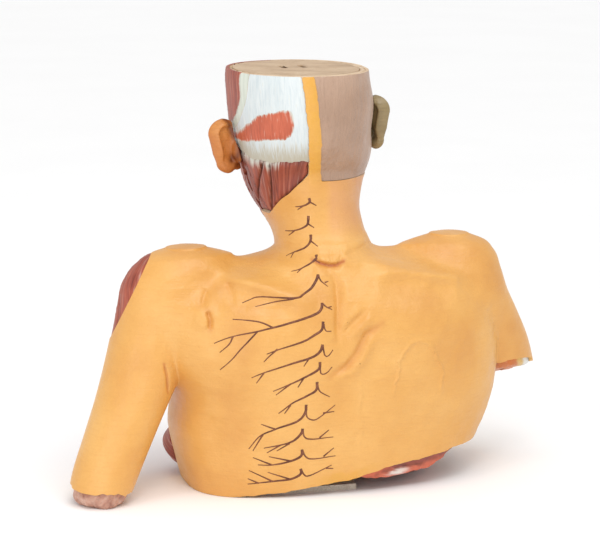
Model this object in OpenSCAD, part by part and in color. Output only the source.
// Life-size classroom torso anatomy model: head, neck, shoulders and chest, cut flat through the
// skull, below the ribs and through both upper arms. The right half keeps its skin, and the left
// half of the head, neck and front shows the muscles. The brain lifts out of the skull, and the
// chest plate pulls off forwards to show the organs.
// Millimetres. +Z is up, the face looks along -Y, and the figure's left side is +X.
// The origin is the middle of the flat underside.

/* [Skin] */
// Thickness of the skin shells
skin = 4; // [3:0.5:5]
// How far the dissected muscles lie below the skin's surface
recess = 1.4; // [1:0.1:2]
// Gap left between neighbouring pieces
gap = 0.4; // [0.3:0.05:0.5]

/* [Cuts] */
// Height of the flat cut through the skull
cut_height = 437; // [432:1:442]
// Height of the skin's lower hem at the middle
hem_height = 14; // [12:1:16]
// Fall of the hem, in degrees, towards the figure's left
hem_tilt = 10; // [9:0.5:11]
// Height of the muscle wall's lower edge at the middle
wall_foot = 7; // [6:0.5:8]
// Height of the seam between the neck skin and the shoulders
neck_seam = 243; // [240:1:246]
// Height of the seam between the neck skin and the scalp
hairline = 325; // [320:1:330]

/* [Head] */
// Sideways lean of the head, towards the figure's left
head_lean = 6.5; // [3:0.5:7]
// Length of an ear
ear_length = 60; // [56:1:64]
// Thickness of an ear at its rim
ear_thickness = 7; // [6:0.5:9]

/* [Trunk] */
// Depth of the muscle wall under the skin
wall = 9; // [7:0.5:9]
// Height of one rib
rib_height = 9; // [8:0.5:10]
// Distance from rib to rib
rib_pitch = 22; // [20:1:23]
// Thickness of the board that closes the underside
board = 6; // [5:0.5:7]
// Radius of the upper arm bones where they are cut
bone_radius = 11; // [9:0.5:12]

/* [Hidden] */

far = 600;
muscle = skin + gap;               // depth of the muscle layer's outer face
bone = muscle + wall + gap;        // depth of the rib layer's outer face
head_origin = [9, -33, 366];       // middle of the head between the ears
brain_gap = 1.2;
plate_side = 128;                  // half width of the chest plate
plate_low = 36;
plate_high = 218;
plate_back = -20;
board_side = 95;                   // how far the board reaches to the figure's right
board_notch = [-20, 20];           // the board's back right corner is missing past this x and y
front_cut = -25;                   // the left side has no skin in front of this plane
head_cut = -36;                    // face pieces start in front of this plane
skull_low = 350;
mid_cut = 3;                       // plane between the skinned and the dissected half
strip = [5, 18];                   // the skin strip beside the middle of the head
galea_low = 346;
nape_top = 344;                    // height at which the nape's grooves are placed
inner_groove = [26, 27];           // trapezius from splenius: y at nape_top, tilt in degrees
outer_groove = [19, 41];           // splenius from sternomastoid
sleeve_trims = [19, 4];            // muscle left bare at the end of each arm
sleeve_top = 112;                  // the left sleeve is whole below this height
mediastinum = 32;                  // half width of the space between the lungs
dome_radius = 252;
dome_centre = [0, 0, -220];

// Sections: [z, centre x, centre y, half width, front depth, back depth, squareness].
trunk_rows = [
    [-30, 1, 0, 138, 92, 84, 3], [0, 1, 0, 148, 98, 91, 3.1], [25, -2, 0, 158, 103, 96, 2.8],
    [60, -8, 0, 172, 106, 100, 2.5], [100, -14, 0, 177, 108, 105, 2.5], [145, -4, 0, 190, 103, 107, 2.5],
    [178, -1, 0, 189, 88, 104, 2.4], [205, 0, 0, 176, 72, 94, 2.3], [223, 0, 0, 148, 60, 82, 2.2],
    [234, 0, 0, 106, 52, 72, 2.1], [243, 0, 0, 66, 46, 62, 2]];
neck_rows = [
    [200, -3, 8, 62, 60, 62, 2], [225, -3, 7, 56, 58, 64, 2], [245, -3, 4, 51, 56, 62, 2],
    [268, 0, -3, 48, 57, 54, 2], [290, 3, -8, 47, 60, 51, 2], [315, 7, -11, 49, 60, 55, 2],
    [345, 10, -20, 50, 50, 50, 2]];
arm_left_rows = [
    [-20, 260, 68, 28, 29, 29, 2], [0, 254, 63, 31, 33, 33, 2], [20, 248, 58, 34, 36, 36, 2],
    [68, 227, 44, 37, 40, 40, 2], [100, 212, 34, 39, 43, 43, 2], [137, 194, 18, 43, 47, 46, 2],
    [170, 182, 8, 45, 50, 48, 2], [196, 174, 4, 47, 51, 50, 2], [220, 165, 2, 50, 46, 47, 2],
    [240, 153, 2, 47, 36, 38, 2], [249, 150, 2, 36, 27, 28, 2], [254, 148, 2, 20, 15, 16, 2]];
arm_right_rows = [
    [70, -214, -16, 37, 36, 36, 2], [98, -207, -13, 41, 39, 39, 2], [139, -191, -8, 46, 44, 44, 2],
    [173, -174, -3, 47, 48, 48, 2], [197, -162, 0, 47, 50, 50, 2], [220, -153, 2, 48, 46, 47, 2],
    [240, -148, 2, 45, 36, 38, 2], [251, -146, 2, 35, 27, 28, 2], [257, -145, 2, 20, 15, 16, 2]];
head_rows = [
    [-105, 6, 4, 30, 56, 30, 2], [-92, 6, 4, 42, 76, 40, 2.1], [-75, 5, 3, 52, 89, 52, 2.2],
    [-50, 4, 0, 63, 92, 62, 2.2], [-25, 2, 0, 70, 92, 79, 2.2], [0, 3, 0, 73, 93, 92, 2.2],
    [25, 1, 0, 76, 95, 97, 2.2], [50, 1, 0, 75.5, 95, 97, 2.2], [76, 1, 0, 73.5, 90, 93, 2.2],
    [100, 1, 0, 65, 76, 82, 2.1]];
brain_rows = [
    [378, 15, -35, 30, 44, 42, 2], [386, 15, -35, 49, 66, 64, 2.1], [402, 16, -35, 60, 78, 76, 2.2],
    [420, 17, -35, 63.5, 81, 80, 2.2], [450, 18, -35, 66, 84, 83, 2.2]];
chest_rows = [
    [-10, 0, 0, 125, 80, 70, 2.4], [20, 0, 0, 129, 85, 77, 2.4], [60, 0, 0, 137, 90, 82, 2.4],
    [100, 0, 0, 140, 92, 88, 2.4], [150, 0, 0, 128, 84, 88, 2.3], [190, 0, 0, 100, 64, 80, 2.2],
    [215, 0, 0, 66, 48, 66, 2], [232, 0, 0, 42, 36, 50, 2]];

function catmull(a, b, c, d, t) =
    b + t * ((c - a) / 2 + t * ((2 * a - 5 * b + 4 * c - d) / 2 + t * (3 * b - a - 3 * c + d) / 2));

// The rows with new ones spaced smoothly between them.
function refined(rows, steps) = let (last = len(rows) - 1) concat(
    [for (i = [0:last - 1], s = [0:steps - 1])
        [for (k = [0:6]) catmull(rows[max(i - 1, 0)][k], rows[i][k], rows[i + 1][k],
                                 rows[min(i + 2, last)][k], s / steps)]],
    [rows[last]]);

// Unit normal of the side profile at row i, as [outwards, upwards].
function profile_normal(rows, i) = let (
    a = rows[max(i - 1, 0)], b = rows[min(i + 1, len(rows) - 1)],
    n = [b[0] - a[0], a[3] - b[3]]) n / norm(n);

function power(v, e) = sign(v) * pow(abs(v), e);

function ring(row, normal, inset, sides) = [for (i = [0:sides - 1]) let (
    a = 360 * i / sides, e = 2 / row[6],
    w = max(row[3] - inset * normal[0], 1),
    d = max((sin(a) > 0 ? row[5] : row[4]) - inset * normal[0], 1))
    [row[1] + w * power(cos(a), e), row[2] + d * power(sin(a), e), row[0] - inset * normal[1]]];

// A closed solid through the rows, with its surface set in by inset.
module loft(rows, inset = 0, sides = 32, steps = 1) {
    fine = refined(rows, steps);
    last = len(fine) - 1;
    points = [for (i = [0:last]) each ring(fine[i], profile_normal(fine, i), inset, sides)];
    walls = [for (i = [0:last - 1], j = [0:sides - 1]) let (k = (j + 1) % sides)
        each [[i * sides + j, (i + 1) * sides + j, (i + 1) * sides + k],
              [i * sides + j, (i + 1) * sides + k, i * sides + k]]];
    floor = [for (j = [0:sides - 1]) j];
    top = [for (j = [sides - 1:-1:0]) last * sides + j];
    polyhedron(points, concat(walls, [floor, top]), convexity = 6);
}

// Its children as one closed mesh.
module carved() { resize([0, 0, 0]) children(); }

module above(z) { translate([-far, -far, z]) cube([2 * far, 2 * far, 2 * far]); }
module below(z) { translate([-far, -far, z - 2 * far]) cube([2 * far, 2 * far, 2 * far]); }
module left_of(x) { translate([x, -far, -far]) cube([2 * far, 2 * far, 2 * far]); }
module right_of(x) { translate([x - 2 * far, -far, -far]) cube([2 * far, 2 * far, 2 * far]); }
module behind(y) { translate([-far, y, -far]) cube([2 * far, 2 * far, 2 * far]); }
module in_front(y) { translate([-far, y - 2 * far, -far]) cube([2 * far, 2 * far, 2 * far]); }

module lean() { translate(head_origin) rotate([0, head_lean, 0]) children(); }

module trunk(inset) { loft(trunk_rows, inset, 36); }
module neck(inset) { loft(neck_rows, inset, 28); }
module arm_left(inset, trim = 0) {
    difference() {
        loft(arm_left_rows, inset, 20);
        translate([262, 62, trim]) rotate([0, -6, 0]) below(0);
        below(0);
    }
}

module arm_right(inset, trim = 0) {
    difference() {
        loft(arm_right_rows, inset, 20);
        right_arm_end(trim);
    }
}

// Space past the cut end of the right arm, starting trim millimetres above it.
module right_arm_end(trim) { translate([-200, -12, 98 + trim]) rotate([18, 9, 0]) below(0); }

module chest(inset) { loft(chest_rows, inset, 24); }

module nose(inset) {
    hull() {
        translate([4, -87, 20]) sphere(6 - inset / 2, $fn = 16);
        translate([6, -104, -18]) sphere(11 - inset / 2, $fn = 16);
        translate([6, -88, -22]) sphere(15 - inset / 2, $fn = 16);
    }
}

module head(inset) { lean() { loft(head_rows, inset, 32); nose(inset); } }

// The slope from the neck to the top of a shoulder. The right one is a little higher.
module slope(side, inset) {
    lift = side < 0 ? 8 : 0;
    hull() {
        translate([side * 145, 2, 220 + lift / 4]) sphere(31 - inset, $fn = 20);
        translate([side * 46, 9, 205 + lift]) sphere(30 - inset, $fn = 20);
    }
}

module torso(inset, trims = [0, 0]) {
    trunk(inset);
    neck(inset);
    slope(1, inset);
    slope(-1, inset);
    arm_left(inset, trims[0]);
    arm_right(inset, trims[1]);
}

module figure(inset) { torso(inset); head(inset); }

module layer(outer, inner) { difference() { figure(outer); figure(inner); } }

// Space that belongs to the head, above the jaw line. It grows by grow.
module head_space(grow = 0) {
    rotate([90, 0, 90]) translate([0, 0, -far])
        linear_extrude(2 * far) polygon([[far, hairline - grow], [head_cut, hairline - grow],
            [-118, 270 - grow], [-far, 270 - grow], [-far, 2 * far], [far, 2 * far]]);
}

// Space around the neck, above the shoulders' seam.
module neck_space(grow = 0) {
    translate([0, 0, neck_seam - grow]) scale([1, 1.2, 1]) cylinder(h = far, r = 80 + grow, $fn = 48);
}

// Space above the slanting edge that the neck skin has on the left.
module open_neck(grow = 0) {
    translate([0, far, 0]) rotate([90, 0, 0]) linear_extrude(2 * far) polygon([
        [strip[1] - grow, far], [strip[1] - grow, 334 - grow], [24 - grow, 331 - grow],
        [36 - grow, 319 - grow], [50 - grow, 299 - grow], [56 - grow, 284 - grow],
        [far, 260 - grow], [far, far]]);
}

module strip_space(grow = 0) {
    lean() translate([strip[0] - grow, head_cut, -60])
        cube([strip[1] - strip[0] + 2 * grow, 2 * far, far]);
}

// Space outside the slanting cut over the left shoulder.
module shoulder_cut(grow = 0) {
    intersection() {
        translate([187.5 - grow, 13.5, 248]) rotate([0, -27, 0]) rotate([0, 0, -12]) left_of(0);
        above(sleeve_top - grow);
    }
}

// All the space where the left side of the torso has lost its skin.
module open_front(grow = 0) {
    translate([mid_cut - grow, -far, -far])
        cube([160 + 2 * grow, far + front_cut + grow, far + neck_seam]);
    translate([150, -far, sleeve_top - grow]) cube([far, far - 12 + grow, far]);
    shoulder_cut(grow);
}

module plate_space(grow = 0) {
    translate([0, plate_back + grow, 0]) rotate([90, 0, 0]) linear_extrude(far) offset(delta = grow)
        polygon([[-plate_side + 10, plate_low], [plate_side - 10, plate_low], [plate_side, plate_low + 12],
            [plate_side, 174], [98, 200], [56, plate_high], [-56, plate_high], [-98, 200],
            [-plate_side, 174], [-plate_side, plate_low + 12]]);
}

// Space under the slanting lower edge of the skin, or of the muscle wall.
module under_hem(height, tilt) {
    translate([0, 0, height]) rotate([0, tilt, 0]) below(0);
    below(0.4);
}

module torso_skin() color("sandybrown") carved() difference() {
    torso(0, sleeve_trims);
    torso(skin);
    neck_space();
    plate_space(gap);
    open_front();
    difference() { under_hem(hem_height, hem_tilt); arm_left(-gap); }
}

module neck_skin() color("sandybrown") carved() difference() {
    intersection() {
        layer(0, skin);
        union() {
            difference() { neck_space(-gap); head_space(); open_neck(); neck_front_open(); }
            difference() { strip_space(-gap); below(hairline - 6); above(cut_height); }
        }
    }
}

module neck_front_open(grow = 0) {
    translate([mid_cut - grow, -far, 0]) cube([far, far - 28 + grow, far * 2]);
}

module scalp_skin_right() color("rosybrown") carved() difference() {
    intersection() { layer(0, skin); head_space(-gap); }
    strip_space();
    lean() left_of(strip[0]);
    in_front(head_cut + gap);
    above(cut_height);
}

module face_skin_right() color("navajowhite") carved() difference() {
    intersection() { layer(0, skin); head_space(-gap); }
    lean() left_of(mid_cut + 3);
    behind(head_cut);
    above(cut_height);
}

// The left side of the head behind the face.
module left_scalp(outer) {
    difference() {
        intersection() { layer(outer, skin); head_space(-gap); lean() left_of(strip[1] + gap); }
        in_front(head_cut + gap);
        above(cut_height);
    }
}

// The occipital muscle's outline, seen from straight behind.
module occipital_space(grow = 0) {
    lean() translate([0, far, 0]) rotate([90, 0, 0]) linear_extrude(far + 4) offset(delta = grow)
        polygon([[84, 4], [76, 16], [62, 37], [37, 41], [33, 36], [33, 20], [38, 10], [56, 11], [70, 8]]);
}

module temporal_space(grow = 0) {
    lean() rotate([90, 0, 90]) linear_extrude(far) offset(delta = grow) polygon([
        [-90, 100], [27, 100], [35, 70], [34, 52], [20, 34], [-10, 21], [-36, 13], [-90, 13]]);
}

module fascia_space(grow = 0) {
    lean() rotate([90, 0, 90]) linear_extrude(far) offset(delta = grow) polygon([
        [-90, 100], [50, 100], [50, 70], [45, 52], [34, 36], [20, 24], [0, 16], [-36, 8], [-90, 8]]);
}

module galea_left() color("azure") carved() difference() {
    left_scalp(recess);
    below(galea_low);
    occipital_space(gap);
    fascia_space(gap);
}

module occipital_muscle_left() color("indianred") carved() difference() {
    intersection() { left_scalp(recess - 0.4); occipital_space(); }
    fascia_space(gap);
}

module temporal_fascia_left() color("beige") carved() difference() {
    intersection() { left_scalp(recess); fascia_space(); above(galea_low); }
    temporal_space(gap);
}

module temporal_muscle_left() color("indianred") carved() difference() {
    intersection() { layer(recess - 0.6, skin); temporal_space(); head_space(-gap); }
    lean() right_of(40);
    above(cut_height);
    in_front(-96);
}

// The dissected back and side of the neck, between the galea and the neck skin.
module left_nape(depth) {
    difference() {
        intersection() { layer(recess, depth); open_neck(-gap); neck_space(-gap); below(galea_low - gap); }
        strip_space(gap);
        in_front(-28 + gap);
        column_space();
    }
}

// Space behind a slanting groove between two neck muscles.
module behind_groove(groove, shift) {
    translate([0, groove[0] + shift, nape_top]) rotate([-groove[1], 0, 0]) behind(0);
}

module neck_trapezius_left() color("firebrick") carved() intersection() {
    left_nape(14);
    behind_groove(inner_groove, gap / 2);
}

module splenius_left() color("brown") carved() difference() {
    intersection() { left_nape(14); behind_groove(outer_groove, gap / 2); }
    behind_groove(inner_groove, -gap / 2);
}

module sternomastoid_left() color("firebrick") carved() difference() {
    left_nape(14);
    behind_groove(outer_groove, -gap / 2);
}

module strap_muscles_left() color("brown") carved() difference() {
    intersection() { layer(recess, 14); neck_space(-gap); neck_front_open(-gap); }
    head_space();
    larynx_tube(13, 34);
}

module face_muscles_left() color("indianred") carved() difference() {
    intersection() { layer(recess, skin + 3); head_space(-gap); lean() left_of(mid_cut + 3 + gap); }
    behind(head_cut);
    temporal_space(gap);
    above(cut_height);
    skull_space(gap);
}

module ear_outline() {
    hull() {
        translate([-1, ear_length * 0.2]) circle(ear_length * 0.27, $fn = 20);
        translate([-3, -ear_length * 0.3]) circle(ear_length * 0.2, $fn = 20);
    }
}

// An ear whose root is at the origin, reaching out along +X with its hollow facing -Y.
module ear() {
    translate([20, 0, 0]) rotate([90, 0, 0]) difference() {
        linear_extrude(ear_thickness, center = true) ear_outline();
        translate([0, 4, 6]) scale([0.65, 1.1, 1]) sphere(ear_length * 0.16, $fn = 16);
    }
    translate([0, 0, -4]) rotate([0, 90, 0]) scale([1.4, 1, 1]) cylinder(h = 16, r = 9, $fn = 20);
}

module ear_left() color("darkorange") carved() difference() {
    lean() translate([70, 0, 3]) rotate([0, 0, 22]) ear();
    figure(-gap);
}

module ear_right() color("darkkhaki") carved() difference() {
    lean() translate([-68, 0, 6]) rotate([0, 0, -64]) mirror([1, 0, 0]) ear();
    figure(-gap);
}

module brain_shape(grow) { loft(brain_rows, -grow, 32); }

module ventricle(side) {
    translate([18 + side * 11, -46, cut_height]) hull() for (y = [-11, 11])
        translate([0, y, -8]) cylinder(h = 20, r = 3.4, $fn = 24);
}

module brain() color("tan") carved() difference() {
    brain_shape(0);
    above(cut_height);
    below(380);
    ventricle(-1);
    ventricle(1);
}

module skull_space(grow = 0) {
    difference() {
        intersection() { head(muscle - grow); above(skull_low - grow); }
        above(cut_height + 2 * grow);
    }
}

module skull() color("wheat") carved() difference() {
    intersection() { head(muscle); above(skull_low); }
    above(cut_height);
    intersection() { brain_shape(brain_gap); above(379); }
}

thoracic_count = 10;
cervical_count = 5;
vertebra_pitch = 22;
disc_height = 4;
function thoracic_point(i) = [0, 48 + 16 * sin(i * 19), 17 + vertebra_pitch * i];
function cervical_point(i) = [2 * i, 30 - 8 * i, 237 + vertebra_pitch * i];

module vertebra(radius, process) {
    cylinder(h = vertebra_pitch - 5, r = radius, center = true, $fn = 40);
    translate([0, radius + process / 2, -3]) cube([7, process + 8, 8], center = true);
    translate([0, radius, 0]) cube([3.2 * radius, 8, 7], center = true);
}

module thoracic_vertebrae() color("ivory") for (i = [0:thoracic_count - 1])
    translate(thoracic_point(i)) vertebra(14, i > 7 ? 4 : 8);

module cervical_vertebrae() color("ivory") for (i = [0:cervical_count - 1])
    translate(cervical_point(i)) vertebra(11, 8);

module intervertebral_discs() color("lightblue") {
    for (i = [0:thoracic_count - 2])
        translate((thoracic_point(i) + thoracic_point(i + 1)) / 2)
            cylinder(h = disc_height, r = 12.5, center = true, $fn = 40);
    for (i = [0:cervical_count - 2])
        translate((cervical_point(i) + cervical_point(i + 1)) / 2)
            cylinder(h = disc_height, r = 9.5, center = true, $fn = 40);
}

module column_space() {
    for (i = [0:cervical_count - 1])
        translate(cervical_point(i)) translate([-20, -14, -12]) cube([40, 38, 24]);
}

module larynx_tube(radius, height) {
    translate([2, -36, 270]) cylinder(h = height, r = radius, center = true, $fn = 40);
}

module larynx() color("lightsteelblue") difference() {
    larynx_tube(12, 34);
    larynx_tube(7, 40);
}

module trunk_wall() color("indianred") carved() difference() {
    trunk(muscle);
    trunk(muscle + wall);
    under_hem(wall_foot, hem_tilt - 4);
    above(236);
    neck(-gap);
    arm_left(recess - 2 * gap);
    arm_right(muscle - gap);
    plate_space(gap);
    clavicle_shape(1, gap);
    clavicle_shape(-1, gap);
}

module serratus_left() color("rosybrown") carved() difference() {
    translate([135, -46, 32]) scale([0.9, 1.2, 1.1]) sphere(25, $fn = 20);
    trunk(skin);
    plate_space(gap);
    behind(front_cut - gap);
    below(1);
}

module clavicle_shape(side, grow = 0) {
    a = [side * 24, -44, 226];
    b = [side * 100, -14, 224];
    d = b - a;
    translate(a) rotate([0, acos(d[2] / norm(d)), atan2(d[1], d[0])])
        translate([0, 0, -grow]) cylinder(h = norm(d) + 2 * grow, r = 6.5 + grow, $fn = 16);
}

module clavicle_left() color("ivory") clavicle_shape(1);
module clavicle_right() color("ivory") clavicle_shape(-1);

// A straight bone from a to b with a round head at a.
module long_bone(a, b, grow = 0) {
    d = b - a;
    translate(a) rotate([0, acos(d[2] / norm(d)), atan2(d[1], d[0])])
        cylinder(h = norm(d) + 3 * grow, r = bone_radius + grow, $fn = 24);
    translate(a) sphere(bone_radius + 9 + grow, $fn = 24);
}

humerus_left_ends = [[174, 5, 194], [256, 65, -8]];
humerus_right_ends = [[-163, 0, 192], [-209, -15, 84]];

module humerus_left() color("ivory") difference() {
    long_bone(humerus_left_ends[0], humerus_left_ends[1]);
    below(0.5);
}
module humerus_right() color("ivory") difference() {
    long_bone(humerus_right_ends[0], humerus_right_ends[1]);
    right_arm_end(0.5);
}

// Space of the left shoulder's bare muscle.
module deltoid_space(outer, inner, grow = 0) {
    difference() {
        intersection() { arm_left(outer); open_front(grow); above(sleeve_top - grow); }
        arm_left(inner);
    }
}

module deltoid_left() color("firebrick") carved() difference() {
    deltoid_space(recess - gap, 12, -gap);
    neck_space(gap);
    plate_space(gap);
    clavicle_shape(1, gap);
    slope(1, skin);
}

module arm_muscles_left() color("rosybrown") carved() difference() {
    arm_left(muscle);
    deltoid_space(0, 12 + gap);
    long_bone(humerus_left_ends[0], humerus_left_ends[1], gap);
    clavicle_shape(1, gap);
}

module arm_muscles_right() color("rosybrown") carved() difference() {
    arm_right(muscle);
    long_bone(humerus_right_ends[0], humerus_right_ends[1], gap);
    clavicle_shape(-1, gap);
}

// Rib rings: slanting slices of the chest's shell.
module rib_rings(count) {
    intersection() {
        difference() { chest(0); chest(5.5); }
        union() for (i = [0:count - 1])
            translate([0, 60, 34 + i * rib_pitch]) rotate([14, 0, 0])
                translate([-far, -far, 0]) cube([2 * far, 2 * far, rib_height]);
    }
}

module rear_ribs() color("ivory") carved() difference() {
    rib_rings(8);
    plate_space(2);
    translate([-26, 0, -far]) cube([52, far, 2 * far]);
    below(board + 2);
    dome(dome_radius + 1);
}

module dome(radius) { translate(dome_centre) sphere(radius, $fn = 40); }

module diaphragm() color("lightcoral") carved() difference() {
    intersection() { chest(6.4); dome(dome_radius); }
    dome(dome_radius - 5);
    below(board + 1);
    translate([-26, 30, -far]) cube([52, far, 2 * far]);
}

module heart_shape(grow = 0) {
    hull() {
        translate([14, -36, 96]) sphere(32 + grow, $fn = 24);
        translate([36, -42, 66]) sphere(22 + grow, $fn = 24);
        translate([4, -28, 118]) sphere(24 + grow, $fn = 24);
    }
}

module heart() color("firebrick") carved() difference() { heart_shape(); dome(dome_radius + 1); }

module lung(side) carved() difference() {
    chest(6.6);
    if (side > 0) right_of(mediastinum); else left_of(-mediastinum);
    dome(dome_radius + 1);
    below(board + 2);
    heart_shape(1.5);
    above(214);
    in_front(-74);
}

module lung_left() color("salmon") lung(1);
module lung_right() color("salmon") lung(-1);

module aorta() color("crimson") {
    translate([8, -14, 152]) rotate([90, 0, 90]) rotate_extrude(angle = 180, $fn = 48)
        translate([28, 0]) circle(10, $fn = 32);
    translate([8, 14, 46]) cylinder(h = 106, r = 10, $fn = 32);
}

module trachea() color("lightsteelblue") {
    a = [-18, -4, 158];
    b = [0, -32, 248];
    d = b - a;
    translate(a) rotate([0, acos(d[2] / norm(d)), atan2(d[1], d[0])])
        cylinder(h = norm(d), r = 8, $fn = 32);
}

module oesophagus() color("palevioletred") translate([-14, 22, 46]) cylinder(h = 176, r = 6, $fn = 32);

// The board stops short of the figure's right side and back, where the muscle wall's foot rises clear of it.
module base_board() color("antiquewhite") linear_extrude(board) difference() {
    polygon([for (p = ring(trunk_rows[1], [1, 0], bone + 1, 48)) [max(p[0], -board_side), p[1]]]);
    translate([board_notch[0] - far, board_notch[1]]) square(far);
}

module plate_layer(outer, inner) {
    intersection() {
        difference() { trunk(outer); trunk(inner); }
        plate_space();
    }
}

module chest_skin_right() color("sandybrown") carved() difference() {
    plate_layer(0, skin);
    left_of(mid_cut);
}

module chest_muscle_right() color("indianred") carved() difference() {
    plate_layer(muscle, muscle + wall);
    left_of(-16 - gap);
}

module sternum() color("ivory") carved() difference() {
    plate_layer(muscle, muscle + wall);
    right_of(-16);
    left_of(16);
}

module pectoral_left() color("firebrick") carved() difference() {
    plate_layer(recess - 0.4, muscle + wall);
    right_of(16 + gap);
    below(96);
}

module abdominal_left() color("indianred") carved() difference() {
    plate_layer(recess, muscle + wall);
    right_of(16 + gap);
    above(96 - gap);
}

module front_ribs() color("ivory") carved() intersection() {
    rib_rings(8);
    plate_space(-1);
}

torso_skin();
neck_skin();
scalp_skin_right();
face_skin_right();
ear_left();
ear_right();
galea_left();
occipital_muscle_left();
temporal_muscle_left();
temporal_fascia_left();
neck_trapezius_left();
splenius_left();
sternomastoid_left();
strap_muscles_left();
face_muscles_left();
skull();
brain();
larynx();
cervical_vertebrae();
thoracic_vertebrae();
intervertebral_discs();
trunk_wall();
serratus_left();
deltoid_left();
clavicle_left();
clavicle_right();
arm_muscles_left();
arm_muscles_right();
humerus_left();
humerus_right();
rear_ribs();
lung_left();
lung_right();
heart();
aorta();
trachea();
oesophagus();
diaphragm();
base_board();
chest_skin_right();
chest_muscle_right();
sternum();
pectoral_left();
abdominal_left();
front_ribs();
